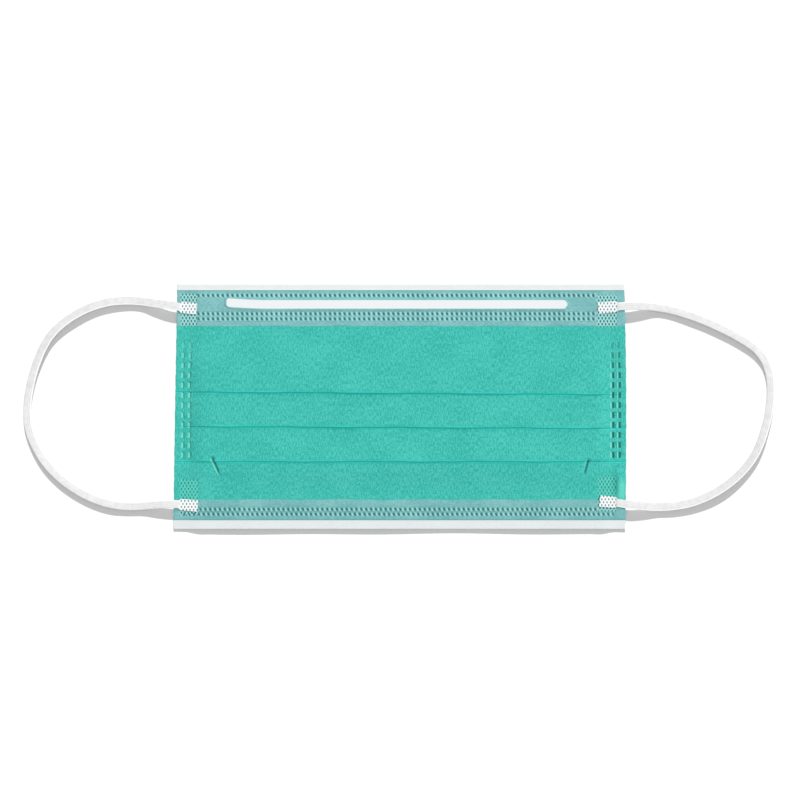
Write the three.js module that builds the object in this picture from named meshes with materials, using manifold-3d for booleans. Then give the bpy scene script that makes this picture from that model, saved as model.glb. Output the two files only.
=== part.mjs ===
// A pleated surgical face mask with two elastic ear loops, lying on its back with its coloured face up.
// Millimetres. +X runs along the width, +Y towards the nose edge and +Z away from the surface it lies on.
// The origin is on that surface, under the middle of the pleated rectangle.

import * as THREE from "three";
import { mergeVertices } from "three/addons/utils/BufferGeometryUtils.js";
import Module from "manifold-3d";

const wasm = await Module();
wasm.setup();

// Body, pleats closed
const MASK_WIDTH = 175;
const MASK_HEIGHT = 95;
const PANEL_WALL = 1; // the plies of the panel together
const PLEAT_GAP = 0.3; // air between the layers of a pleat at the side welds
const PLEAT_SPRING = 0.45; // how much wider that air is half way across
const PIECE_GAP = 0.3; // air between two pieces that lie on each other

// Lining, turned over both long edges to the front
const LINING_WALL = 1;
const TOP_HEM_DEPTH = 16.3;
const BOTTOM_HEM_DEPTH = 11.5;
const TOP_TURNING = 2.3; // how far the lining reaches past the panel's edge
const BOTTOM_TURNING = 3.5;

// Side welds, two columns of short dents at each side that hold the pleats
const WELD_LENGTH = 2.25; // along Y
const WELD_BREADTH = 1.1; // along X
const WELD_DENT = 0.4;
const WELD_ROWS = 12;
const WELD_PITCH = 3.86;
const WELD_START = 23.8; // from the nose edge to the middle of the first row
const WELD_INSET = 3.4; // from the side edge to the middle of the outer column
const WELD_COLUMNS = 2.7; // between the middles of the two columns

// Nose wire, in the top hem
const WIRE_LENGTH = 132.3;
const WIRE_WIDTH = 3.5;
const WIRE_THICKNESS = 0.8;
const WIRE_INSET = 8.1; // from the nose edge to the wire's middle line
const WIRE_SHIFT = -1; // from the middle of the mask to the wire's middle, along X
const WIRE_CREEP = 0.8; // how far its left end turns towards the nose edge
const WIRE_CREEP_LENGTH = 14; // how much of the wire that turn takes
const WIRE_CORNER = 1; // radius of its left corners
const WIRE_POINT = 1.4; // how far its right end comes to a blunt point
const CHANNEL_PLAY = 0.45; // room beside the wire under the flat of its channel
const CHANNEL_SHOULDER = 2.2; // from the flat of the channel down to the hem
const CHANNEL_FADE = 7; // how far past the wire's ends the channel dies away

// Ear loops, flat elastic
const ELASTIC_WIDTH = 3.1;
const ELASTIC_THICKNESS = 1;
const ELASTIC_LIE = 0.1; // air under the elastic where it lies loose
const ELASTIC_STEPS = 60;
const ROUTE_MASK_WIDTH = 175; // width of the mask that the loops' routes were laid out beside

const BEND_STEPS = 3; // flats in each bend of a wall
const FOLD_STEPS = 6; // flats round each fold

// One row a pleat, from the nose edge down. fold is where its front edge shows and depth is how far it reaches
// back up behind that edge, both as shares of MASK_HEIGHT, with fold counted from the nose edge.
const PLEATS = [
  { fold: 0.445, depth: 0.105 },
  { fold: 0.585, depth: 0.105 },
  { fold: 0.726, depth: 0.105 },
];

// One row a section of the panel, from the middle outwards. at is its distance from the middle as a share of half
// the MASK_WIDTH, and spring is its share of PLEAT_SPRING: the side welds press the pleats flat.
const PANEL_SECTIONS = [
  { at: 0, spring: 1 },
  { at: 0.25, spring: 0.94 },
  { at: 0.5, spring: 0.76 },
  { at: 0.72, spring: 0.46 },
  { at: 0.88, spring: 0.12 },
  { at: 0.93, spring: 0 },
  { at: 1, spring: 0 },
];

// The routes of the ear loops, from the nose edge's weld round to the chin edge's. x and y are in millimetres, and
// rise is 1 on the hem and 0 where the elastic lies on the surface.
const LEFT_ROUTE = [
  { x: -78.6, y: 37.9, rise: 1 },
  { x: -84.0, y: 38.5, rise: 1 },
  { x: -89.2, y: 39.3, rise: 0.99 },
  { x: -94.9, y: 40.1, rise: 0.62 },
  { x: -100.2, y: 40.8, rise: 0.14 },
  { x: -105.8, y: 41.1, rise: 0 },
  { x: -112.4, y: 40.6, rise: 0 },
  { x: -119.1, y: 38.8, rise: 0 },
  { x: -125.3, y: 35.9, rise: 0 },
  { x: -130.9, y: 32.1, rise: 0 },
  { x: -135.4, y: 27.6, rise: 0 },
  { x: -138.5, y: 22.5, rise: 0 },
  { x: -140.8, y: 17.0, rise: 0 },
  { x: -142.5, y: 11.6, rise: 0 },
  { x: -143.7, y: 6.2, rise: 0 },
  { x: -144.4, y: 0.7, rise: 0 },
  { x: -144.4, y: -5.0, rise: 0 },
  { x: -143.3, y: -10.5, rise: 0 },
  { x: -141.0, y: -15.8, rise: 0 },
  { x: -138.0, y: -20.8, rise: 0 },
  { x: -134.2, y: -25.3, rise: 0 },
  { x: -129.7, y: -29.3, rise: 0 },
  { x: -124.5, y: -32.8, rise: 0 },
  { x: -118.7, y: -35.7, rise: 0 },
  { x: -112.3, y: -37.7, rise: 0 },
  { x: -105.5, y: -38.6, rise: 0 },
  { x: -100.2, y: -38.5, rise: 0.14 },
  { x: -94.9, y: -38.0, rise: 0.62 },
  { x: -89.2, y: -37.7, rise: 0.99 },
  { x: -84.0, y: -38.0, rise: 1 },
  { x: -78.3, y: -38.5, rise: 1 },
];

const RIGHT_ROUTE = [
  { x: 76.8, y: 38.2, rise: 1 },
  { x: 83.1, y: 38.7, rise: 1 },
  { x: 89.2, y: 39.1, rise: 0.99 },
  { x: 94.9, y: 39.0, rise: 0.62 },
  { x: 100.2, y: 38.5, rise: 0.14 },
  { x: 106.2, y: 37.3, rise: 0 },
  { x: 112.5, y: 35.4, rise: 0 },
  { x: 118.4, y: 33.2, rise: 0 },
  { x: 123.7, y: 30.8, rise: 0 },
  { x: 128.8, y: 28.3, rise: 0 },
  { x: 133.8, y: 25.4, rise: 0 },
  { x: 138.4, y: 22.0, rise: 0 },
  { x: 141.8, y: 17.4, rise: 0 },
  { x: 143.5, y: 11.9, rise: 0 },
  { x: 143.9, y: 6.2, rise: 0 },
  { x: 143.5, y: 0.7, rise: 0 },
  { x: 142.7, y: -4.6, rise: 0 },
  { x: 141.3, y: -9.8, rise: 0 },
  { x: 139.5, y: -14.9, rise: 0 },
  { x: 137.0, y: -19.8, rise: 0 },
  { x: 133.6, y: -24.3, rise: 0 },
  { x: 129.4, y: -28.4, rise: 0 },
  { x: 124.5, y: -32.0, rise: 0 },
  { x: 119.0, y: -35.0, rise: 0 },
  { x: 112.6, y: -37.4, rise: 0 },
  { x: 106.0, y: -38.6, rise: 0 },
  { x: 100.2, y: -38.9, rise: 0.14 },
  { x: 94.9, y: -38.6, rise: 0.62 },
  { x: 89.2, y: -38.0, rise: 0.99 },
  { x: 83.9, y: -37.2, rise: 1 },
  { x: 77.4, y: -36.5, rise: 1 },
];

// Places that follow from the sizes above
const NOSE_EDGE = MASK_HEIGHT / 2;
const CHIN_EDGE = -MASK_HEIGHT / 2;
const PANEL_TOP = NOSE_EDGE - TOP_TURNING;
const PANEL_BOTTOM = CHIN_EDGE + BOTTOM_TURNING;
const TOP_HEM_END = NOSE_EDGE - TOP_HEM_DEPTH;
const BOTTOM_HEM_END = CHIN_EDGE + BOTTOM_HEM_DEPTH;

// Heights of the middles of the walls above the surface, and of the wire's underside
const PANEL_LOW = PANEL_WALL / 2;
const HEM_BACK = LINING_WALL / 2;
const HEM_FRONT = PANEL_WALL + PIECE_GAP + LINING_WALL / 2;
const HEM_TURN = (HEM_FRONT - HEM_BACK + LINING_WALL) / 2; // outer radius of the turned edge
const WIRE_UNDERSIDE = PANEL_WALL + PIECE_GAP;
const CHANNEL_RISE = WIRE_THICKNESS + PIECE_GAP;
const ELASTIC_ON_HEM = HEM_FRONT + LINING_WALL / 2 + PIECE_GAP + ELASTIC_THICKNESS / 2;
const ELASTIC_ON_SURFACE = ELASTIC_LIE + ELASTIC_THICKNESS / 2;

const WIRE_MIDDLE = NOSE_EDGE - WIRE_INSET;
const WIRE_LEFT = WIRE_SHIFT - WIRE_LENGTH / 2;
const WIRE_RIGHT = WIRE_SHIFT + WIRE_LENGTH / 2;

// The middle line of a wall in the Y-Z plane, drawn as lines and arcs. It keeps the unit tangent at each point, so
// that the wall's two faces can be set off from it.
class WallLine {
  constructor(y, z, headingY) {
    this.y = y;
    this.z = z;
    this.heading = headingY;
    this.stations = [];
    this.mark(y, z, headingY, 0);
  }

  mark(y, z, alongY, alongZ) {
    this.stations.push({ y, z, alongY, alongZ });
  }

  // A level run to y.
  levelTo(y) {
    this.y = y;
    this.mark(y, this.z, this.heading, 0);
    return this;
  }

  // Two equal bends with a straight between them, level at both ends, from here to y and z.
  easeTo(y, z, bendRadius) {
    const run = Math.abs(y - this.y);
    const climb = Math.abs(z - this.z);
    if (climb === 0 || run === 0) {
      for (let i = 0; i < 2 * BEND_STEPS + 1; i += 1) {
        const share = (i + 1) / (2 * BEND_STEPS + 1);
        this.mark(this.y + share * (y - this.y), this.z, this.heading, 0);
      }
      this.y = y;
      return this;
    }
    const up = Math.sign(z - this.z);
    const reach = Math.hypot(run, 2 * bendRadius - climb);
    const tilt = Math.asin((2 * bendRadius) / reach) - Math.atan2(2 * bendRadius - climb, run);
    for (let i = 1; i <= BEND_STEPS; i += 1) {
      const angle = (tilt * i) / BEND_STEPS;
      this.mark(
        this.y + this.heading * bendRadius * Math.sin(angle),
        this.z + up * bendRadius * (1 - Math.cos(angle)),
        this.heading * Math.cos(angle),
        up * Math.sin(angle),
      );
    }
    for (let i = BEND_STEPS; i >= 0; i -= 1) {
      const angle = (tilt * i) / BEND_STEPS;
      this.mark(
        y - this.heading * bendRadius * Math.sin(angle),
        z - up * bendRadius * (1 - Math.cos(angle)),
        this.heading * Math.cos(angle),
        up * Math.sin(angle),
      );
    }
    this.y = y;
    this.z = z;
    return this;
  }

  // A half turn to the level z, which sends the line back the way it came.
  foldTo(z) {
    const radius = Math.abs(z - this.z) / 2;
    const up = Math.sign(z - this.z);
    const middle = (z + this.z) / 2;
    for (let i = 1; i <= FOLD_STEPS; i += 1) {
      const angle = (Math.PI * i) / FOLD_STEPS;
      this.mark(
        this.y + this.heading * radius * Math.sin(angle),
        middle - up * radius * Math.cos(angle),
        this.heading * Math.cos(angle),
        up * Math.sin(angle),
      );
    }
    this.z = z;
    this.heading = -this.heading;
    return this;
  }

  // The wall's closed outline, anticlockwise seen from +X for a line that sets out towards -Y.
  outline(wall) {
    const face = (side) =>
      this.stations.map(
        ({ y, z, alongY, alongZ }) =>
          new THREE.Vector2(y + (side * alongZ * wall) / 2, z - (side * alongY * wall) / 2),
      );
    return [...face(1), ...face(-1).reverse()];
  }
}

// The panel's outline where the layers of its pleats are gap apart.
function panelOutline(gap) {
  const pitch = PANEL_WALL + gap;
  const topLayer = PANEL_LOW + 2 * pitch;
  const nose = pitch / 2 + PANEL_WALL / 2;
  const line = new WallLine(PANEL_TOP, PANEL_LOW, -1);
  line.levelTo(TOP_HEM_END);
  for (const { fold, depth } of PLEATS) {
    const front = NOSE_EDGE - fold * MASK_HEIGHT;
    const back = front + depth * MASK_HEIGHT;
    line.easeTo(back, topLayer, PANEL_WALL);
    line.levelTo(front + nose).foldTo(topLayer - pitch);
    line.levelTo(back - nose).foldTo(PANEL_LOW);
    line.levelTo(front);
  }
  line.levelTo(PANEL_BOTTOM);
  return line.outline(PANEL_WALL);
}

// The top hem's outline, from beside the panel's edge round the nose edge to the end of its front leg. rise lifts
// that leg over the wire, from flatFrom to flatTo.
function topHemOutline(rise) {
  const flatFrom = WIRE_MIDDLE + WIRE_WIDTH / 2 + WIRE_CREEP + CHANNEL_PLAY;
  const flatTo = WIRE_MIDDLE - WIRE_WIDTH / 2 - CHANNEL_PLAY;
  const line = new WallLine(PANEL_TOP + PIECE_GAP, HEM_BACK, 1);
  line.levelTo(NOSE_EDGE - HEM_TURN).foldTo(HEM_FRONT);
  line.levelTo(flatFrom + CHANNEL_SHOULDER);
  line.easeTo(flatFrom, HEM_FRONT + rise, LINING_WALL / 2);
  line.levelTo(flatTo);
  line.easeTo(flatTo - CHANNEL_SHOULDER, HEM_FRONT, LINING_WALL / 2);
  line.levelTo(TOP_HEM_END);
  return line.outline(LINING_WALL);
}

function bottomHemOutline() {
  const line = new WallLine(BOTTOM_HEM_END, HEM_FRONT, -1);
  line.levelTo(CHIN_EDGE + HEM_TURN).foldTo(HEM_BACK);
  line.levelTo(PANEL_BOTTOM - PIECE_GAP);
  return line.outline(LINING_WALL);
}

// A closed solid through outlines of equal length, each { x, points }, in the order of growing x.
function loft(sections) {
  const count = sections[0].points.length;
  const places = sections.flatMap(({ x, points }) => points.flatMap(({ x: y, y: z }) => [x, y, z]));
  const faces = [];
  for (let s = 0; s + 1 < sections.length; s += 1) {
    for (let i = 0; i < count; i += 1) {
      const next = (i + 1) % count;
      const [here, beside] = [s * count + i, s * count + next];
      const [hereOn, besideOn] = [here + count, beside + count];
      faces.push(here, beside, besideOn, here, besideOn, hereOn);
    }
  }
  const cap = (section, start, flip) => {
    for (const [a, b, c] of THREE.ShapeUtils.triangulateShape(section.points, [])) {
      faces.push(...(flip ? [start + a, start + c, start + b] : [start + a, start + b, start + c]));
    }
  };
  cap(sections[0], 0, true);
  cap(sections[sections.length - 1], (sections.length - 1) * count, false);
  const geometry = new THREE.BufferGeometry();
  geometry.setAttribute("position", new THREE.Float32BufferAttribute(places, 3));
  geometry.setIndex(faces);
  geometry.computeVertexNormals();
  return geometry;
}

// A three.js geometry as a solid that can be cut, and back again.
function solidFrom(geometry) {
  const bare = new THREE.BufferGeometry().setAttribute("position", geometry.getAttribute("position").clone());
  bare.setIndex(geometry.getIndex());
  const merged = mergeVertices(bare);
  return new wasm.Manifold(
    new wasm.Mesh({
      numProp: 3,
      vertProperties: merged.getAttribute("position").array,
      triVerts: new Uint32Array(merged.getIndex().array),
    }),
  );
}

function geometryFrom(solid) {
  const { vertProperties, triVerts } = solid.getMesh();
  const geometry = new THREE.BufferGeometry();
  geometry.setAttribute("position", new THREE.BufferAttribute(new Float32Array(vertProperties), 3));
  geometry.setIndex(new THREE.BufferAttribute(new Uint32Array(triVerts), 1));
  geometry.computeVertexNormals();
  return geometry;
}

// The height of the highest wall face over y, on an outline of the panel.
function frontHeight(outline, y) {
  let height = 0;
  outline.forEach((from, i) => {
    const to = outline[(i + 1) % outline.length];
    if (Math.min(from.x, to.x) > y || Math.max(from.x, to.x) < y || from.x === to.x) return;
    const share = (y - from.x) / (to.x - from.x);
    height = Math.max(height, from.y + share * (to.y - from.y));
  });
  return height;
}

// The dents that the side welds leave in the panel's front, cut where the pleats lie flat.
function dentSideWelds(panel) {
  const flat = panelOutline(PLEAT_GAP);
  const cutter = WELD_DENT + PANEL_WALL;
  const columns = [WELD_INSET, WELD_INSET + WELD_COLUMNS].map((inset) => MASK_WIDTH / 2 - inset);
  let dented = panel;
  for (let row = 0; row < WELD_ROWS; row += 1) {
    const y = NOSE_EDGE - WELD_START - row * WELD_PITCH;
    const floor = frontHeight(flat, y) - WELD_DENT;
    for (const x of [...columns, ...columns.map((column) => -column)]) {
      const dent = new THREE.BoxGeometry(WELD_BREADTH, WELD_LENGTH, cutter);
      dented = dented.subtract(solidFrom(dent.translate(x, y, floor + cutter / 2)));
    }
  }
  return dented;
}

function pleatedPanel() {
  const half = PANEL_SECTIONS.map(({ at, spring }) => ({
    x: (at * MASK_WIDTH) / 2,
    points: panelOutline(PLEAT_GAP + spring * PLEAT_SPRING),
  }));
  const mirrored = half.slice(1).map(({ x, points }) => ({ x: -x, points }));
  const panel = loft([...mirrored.reverse(), ...half]);
  return geometryFrom(dentSideWelds(solidFrom(panel)));
}

function topHem() {
  const low = topHemOutline(0);
  const high = topHemOutline(CHANNEL_RISE);
  return loft([
    { x: -MASK_WIDTH / 2, points: low },
    { x: WIRE_LEFT - CHANNEL_FADE, points: low },
    { x: WIRE_LEFT - CHANNEL_PLAY, points: high },
    { x: WIRE_RIGHT + CHANNEL_PLAY, points: high },
    { x: WIRE_RIGHT + CHANNEL_FADE, points: low },
    { x: MASK_WIDTH / 2, points: low },
  ]);
}

function bottomHem() {
  const points = bottomHemOutline();
  return loft([
    { x: -MASK_WIDTH / 2, points },
    { x: MASK_WIDTH / 2, points },
  ]);
}

// The wire's outline from above: left corners rounded, right end bluntly pointed, left end crept up.
function noseWire() {
  const low = WIRE_MIDDLE - WIRE_WIDTH / 2;
  const high = WIRE_MIDDLE + WIRE_WIDTH / 2;
  const straightFrom = WIRE_LEFT + WIRE_CREEP_LENGTH;
  const bendHandle = WIRE_LEFT + WIRE_CREEP_LENGTH / 2;
  const outline = new THREE.Shape();
  outline.moveTo(straightFrom, low);
  outline.lineTo(WIRE_RIGHT - WIRE_POINT, low);
  outline.lineTo(WIRE_RIGHT, WIRE_MIDDLE);
  outline.lineTo(WIRE_RIGHT - WIRE_POINT, high);
  outline.lineTo(straightFrom, high);
  outline.quadraticCurveTo(bendHandle, high, WIRE_LEFT + WIRE_CORNER, high + WIRE_CREEP);
  outline.quadraticCurveTo(WIRE_LEFT, high + WIRE_CREEP, WIRE_LEFT, high + WIRE_CREEP - WIRE_CORNER);
  outline.lineTo(WIRE_LEFT, low + WIRE_CREEP + WIRE_CORNER);
  outline.quadraticCurveTo(WIRE_LEFT, low + WIRE_CREEP, WIRE_LEFT + WIRE_CORNER, low + WIRE_CREEP);
  outline.quadraticCurveTo(bendHandle, low, straightFrom, low);
  const geometry = new THREE.ExtrudeGeometry(outline, {
    depth: WIRE_THICKNESS,
    bevelEnabled: false,
    curveSegments: 6,
  });
  return geometry.translate(0, 0, WIRE_UNDERSIDE);
}

// The elastic's section, with its thickness along the shape's x, which the sweep keeps upright.
function elasticSection() {
  const flatHalf = ELASTIC_WIDTH / 2;
  const thickHalf = ELASTIC_THICKNESS / 2;
  const corner = 0.62; // how far a corner stands off the middle lines, as a share of each half size
  const ring = [
    [thickHalf, -flatHalf * corner],
    [thickHalf, flatHalf * corner],
    [thickHalf * corner, flatHalf],
    [-thickHalf * corner, flatHalf],
    [-thickHalf, flatHalf * corner],
    [-thickHalf, -flatHalf * corner],
    [-thickHalf * corner, -flatHalf],
    [thickHalf * corner, -flatHalf],
  ];
  return new THREE.Shape(ring.map(([x, y]) => new THREE.Vector2(x, y)));
}

function earLoop(route) {
  const shift = (Math.sign(route[0].x) * (MASK_WIDTH - ROUTE_MASK_WIDTH)) / 2;
  const points = route.map(({ x, y, rise }) => {
    const z = ELASTIC_ON_SURFACE + rise * (ELASTIC_ON_HEM - ELASTIC_ON_SURFACE);
    return new THREE.Vector3(x + shift, y, z);
  });
  return new THREE.ExtrudeGeometry(elasticSection(), {
    steps: ELASTIC_STEPS,
    extrudePath: new THREE.CatmullRomCurve3(points, false, "centripetal"),
  });
}

const greenNonwoven = new THREE.MeshStandardMaterial({ color: 0x42c2b4, roughness: 0.92, metalness: 0 });
const paleNonwoven = new THREE.MeshStandardMaterial({ color: 0x9fcfcf, roughness: 0.9, metalness: 0 });
const whiteStrip = new THREE.MeshStandardMaterial({ color: 0xf2f5f7, roughness: 0.6, metalness: 0 });
const whiteElastic = new THREE.MeshStandardMaterial({ color: 0xe4e5e6, roughness: 0.95, metalness: 0 });

function piece(name, geometry, material) {
  const mesh = new THREE.Mesh(geometry, material);
  mesh.name = name;
  return mesh;
}

const mask = new THREE.Group();
mask.add(
  piece("pleated_panel", pleatedPanel(), greenNonwoven),
  piece("top_hem", topHem(), paleNonwoven),
  piece("bottom_hem", bottomHem(), paleNonwoven.clone()),
  piece("nose_wire", noseWire(), whiteStrip),
  piece("ear_loop_left", earLoop(LEFT_ROUTE), whiteElastic),
  piece("ear_loop_right", earLoop(RIGHT_ROUTE), whiteElastic.clone()),
);

export default mask;
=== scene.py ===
"""Looks of a flat pleated surgical mask, lying on its back with the green side up.

Every cloth piece starts as a flat grid, which is laid into its folds, pressed at the welds and
given a thin wall. Shapes are worked out in millimetres and set down in metres, in the part's frame:
+X across the mask, +Y towards the nose edge, +Z up out of the green front.
"""

import logging
import math
from dataclasses import dataclass
from enum import Enum
from functools import partialmethod

import bmesh
import bpy
import numpy as np
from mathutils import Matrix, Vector


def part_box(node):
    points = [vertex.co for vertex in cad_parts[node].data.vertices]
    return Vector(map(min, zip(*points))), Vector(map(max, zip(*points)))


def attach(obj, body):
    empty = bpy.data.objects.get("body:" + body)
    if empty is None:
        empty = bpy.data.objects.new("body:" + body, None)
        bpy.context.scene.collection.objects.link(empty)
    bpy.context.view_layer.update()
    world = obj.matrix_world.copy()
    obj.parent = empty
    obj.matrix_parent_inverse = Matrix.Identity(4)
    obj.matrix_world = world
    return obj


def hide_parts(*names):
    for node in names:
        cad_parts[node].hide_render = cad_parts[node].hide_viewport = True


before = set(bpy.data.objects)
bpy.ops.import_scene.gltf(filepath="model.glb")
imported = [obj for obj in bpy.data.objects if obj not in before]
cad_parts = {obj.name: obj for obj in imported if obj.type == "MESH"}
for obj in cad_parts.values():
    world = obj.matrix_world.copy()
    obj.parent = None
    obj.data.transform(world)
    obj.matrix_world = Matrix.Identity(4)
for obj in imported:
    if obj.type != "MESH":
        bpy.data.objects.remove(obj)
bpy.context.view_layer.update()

LOG = logging.getLogger("surgical_mask")
MM = 0.001
BODY = "root"
TURN = 2 * math.pi
SLANT_REACH = 87.5  # from the middle of the mask to where a fold's slant is full, in millimetres
PLY_TOP = 45.2  # where the outer ply ends under the top hem, in millimetres
PLY_BOTTOM = -44.0  # where it ends under the bottom hem
CURL_HIGHLIGHT = (0.0859, -0.0332)  # middle of the painted highlight beside the curled lower right corner, in metres
MIDDLE = 0.02  # half the band over which looks change from the left half to the right one
MIX_INPUTS = (0, 6, 7)  # the share and the two colours of a mix node
Array = np.ndarray
Colour = tuple[float, float, float, float]
Pairs = tuple[tuple[float, float], ...]

# The ear loops' middle lines, from the upper weld to the lower one, in millimetres.
LEFT_ROUTE = (
    (-78.6, 37.9), (-84.0, 38.5), (-89.2, 39.3), (-94.9, 40.1), (-100.2, 40.8), (-105.8, 41.1),
    (-112.4, 40.6), (-119.1, 38.8), (-125.3, 35.9), (-130.9, 32.1), (-135.4, 27.6), (-138.5, 22.5),
    (-140.8, 17.0), (-142.5, 11.6), (-143.7, 6.2), (-144.4, 0.7), (-144.4, -5.0), (-143.3, -10.5),
    (-141.0, -15.8), (-138.0, -20.8), (-134.2, -25.3), (-129.7, -29.3), (-124.5, -32.8), (-118.7, -35.7),
    (-112.3, -37.7), (-105.5, -38.6), (-100.2, -38.5), (-94.9, -38.0), (-89.2, -37.7), (-84.0, -38.0),
    (-78.3, -38.5),
)
RIGHT_ROUTE = (
    (76.8, 38.2), (83.1, 38.7), (89.2, 39.1), (94.9, 39.0), (100.2, 38.5), (106.2, 37.3), (112.5, 35.4),
    (118.4, 33.2), (123.7, 30.8), (128.8, 28.3), (133.8, 25.4), (138.4, 22.0), (141.8, 17.4),
    (143.5, 11.9), (143.9, 6.2), (143.5, 0.7), (142.7, -4.6), (141.3, -9.8), (139.5, -14.9),
    (137.0, -19.8), (133.6, -24.3), (129.4, -28.4), (124.5, -32.0), (119.0, -35.0), (112.6, -37.4),
    (106.0, -38.6), (100.2, -38.9), (94.9, -38.6), (89.2, -38.0), (83.9, -37.2), (77.4, -36.5),
)
# How much of the weld's height the first points of a route keep, and the last ones in turn.
CLIMB = (1.0, 1.0, 0.99, 0.62, 0.14)
# How many degrees each strap leans at shares of its length, below 0 with its left side up.
LEFT_ROLLS = (
    (0.0, 0.0), (0.1, -5.0), (0.2, -11.0), (0.28, -15.0), (0.37, -11.0), (0.47, -4.0), (0.53, 4.0),
    (0.64, 11.0), (0.8, 10.0), (0.9, 4.0), (1.0, 0.0),
)
RIGHT_ROLLS = (
    (0.0, 0.0), (0.1, 4.0), (0.22, 11.0), (0.36, 11.0), (0.47, 3.0), (0.53, -3.0), (0.62, -13.0),
    (0.72, -17.0), (0.82, -11.0), (0.92, -3.0), (1.0, 0.0),
)


def smooth(share: Array) -> Array:
    """Eases from 0 to 1 as the share goes from 0 to 1, and stays there on both sides."""
    held = np.clip(share, 0.0, 1.0)
    return held * held * (3.0 - 2.0 * held)


def linear(red: float, green: float, blue: float) -> Colour:
    """Turns a colour given in 0 to 255 screen values into the shader's linear values."""
    def one(value: float) -> float:
        """Turns one screen value into a linear one."""
        share = value / 255.0
        return share / 12.92 if share <= 0.04045 else ((share + 0.055) / 1.055) ** 2.4

    return one(red), one(green), one(blue), 1.0


@dataclass(frozen=True)
class DotRow:
    """A row of slanted weld dots across a hem, in millimetres."""

    y: float
    start: float
    stop: float
    pitch: float = 1.89
    breadth: float = 0.95
    height: float = 1.35
    lean: float = 0.28
    press: float = 0.45
    fade: float = 1.2

    def ends(self, x: Array) -> Array:
        """Gives 1 along the row and 0 beyond its ends."""
        return smooth((x - self.start) / self.fade + 1) * smooth((self.stop - x) / self.fade + 1)

    def turns(self, x: Array, y: Array) -> Array:
        """Counts the dots from the row's start, so that each dot is at a whole number."""
        return (x + self.lean * (y - self.y) - self.start) / self.pitch

    def depth(self, x: Array, y: Array, filled: bool) -> Array:
        """Says how hard each point is pressed.

        Args:
            x: Places across the mask.
            y: Places up the mask.
            filled: True for a hidden layer, which gets one even groove under the dots.

        Returns:
            The share of its height that each point loses.
        """
        turns = self.turns(x, y)
        side = (turns - np.round(turns)) * self.pitch / (self.breadth / 2)
        far = np.hypot((y - self.y) / (self.height / 2), 0.0 if filled else side)
        return self.press * smooth((1.45 - far) / 0.8) * self.ends(x)

    def puff(self, x: Array, y: Array) -> Array:
        """Says how far the cloth swells between the dots, from 0 to 1."""
        side = 0.5 - 0.5 * np.cos(TURN * self.turns(x, y))
        return side**1.5 * smooth((0.85 - np.abs(y - self.y) / self.height) / 0.5) * self.ends(x)


@dataclass(frozen=True)
class DashColumn:
    """A column of upright weld dashes along a side, in millimetres."""

    x: float
    top: float = 23.75
    pitch: float = 3.86
    count: int = 12
    breadth: float = 1.15
    height: float = 2.3
    press: float = 0.36
    drift: float = 0.35

    def turns(self, y: Array) -> Array:
        """Counts the dashes from the top one, so that each dash is at a whole number."""
        return (self.top - y) / self.pitch

    def side(self, x: Array, y: Array) -> Array:
        """Gives how many half breadths each point lies beside the column, which drifts in at its top."""
        drift = self.drift * np.clip(1 - self.turns(y) / 3, 0, 1)
        return (x - self.x + math.copysign(1.0, self.x) * drift) / (self.breadth / 2)

    def strength(self, y: Array) -> Array:
        """Gives how clearly the dashes show: the first ones faintly, and none beyond the ends."""
        turns = self.turns(y)
        ends = smooth((turns + 0.5) * 10) * smooth((self.count - 0.5 - turns) * 10)
        return ends * np.clip(0.4 + 0.25 * np.round(turns), 0, 1)

    def depth(self, x: Array, y: Array, filled: bool) -> Array:
        """Says how hard each point is pressed, as DotRow.depth does."""
        turns, side = self.turns(y), np.abs(self.side(x, y))
        if filled:
            ends = smooth((turns + 0.75) * 8) * smooth((self.count - 0.25 - turns) * 8)
            return self.press * smooth((1.9 - side) / 0.5) * ends
        up = np.abs(turns - np.round(turns)) * self.pitch / (self.height / 2)
        return self.press * self.strength(y) * smooth((1.35 - side) / 0.7) * smooth((1.2 - up) / 0.4)


@dataclass(frozen=True)
class KnurlPatch:
    """A weld patch with a lattice of diamond dents that holds an end of an ear loop."""

    left: float
    right: float
    bottom: float
    top: float
    pitch_x: float = 1.36
    pitch_y: float = 2.3
    flattening: float = 0.16
    press: float = 0.36
    edge: float = 0.7

    def inside(self, x: Array, y: Array) -> Array:
        """Gives 1 inside the patch and 0 outside it, with a soft edge."""
        across = np.minimum(x - self.left, self.right - x)
        up = np.minimum(y - self.bottom, self.top - y)
        return smooth(np.minimum(across, up) / self.edge + 0.5)

    def turns(self, x: Array, y: Array) -> tuple[Array, Array]:
        """Counts the lattice's lines both ways, so that each dent is at two whole numbers."""
        right = (x - self.left) / self.pitch_x
        up = (y - self.bottom) / self.pitch_y
        return right + up, right - up

    def holes(self, x: Array, y: Array) -> Array:
        """Gives 1 in the middle of each diamond dent and 0 between the dents."""
        first, second = (0.5 + 0.5 * np.cos(TURN * turns) for turns in self.turns(x, y))
        return smooth((first * second - 0.12) / 0.6)

    def depth(self, x: Array, y: Array, filled: bool) -> Array:
        """Says how hard each point is pressed, as DotRow.depth does."""
        pattern = 1.0 if filled else self.holes(x, y)
        return self.inside(x, y) * (self.flattening + self.press * pattern)


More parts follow.
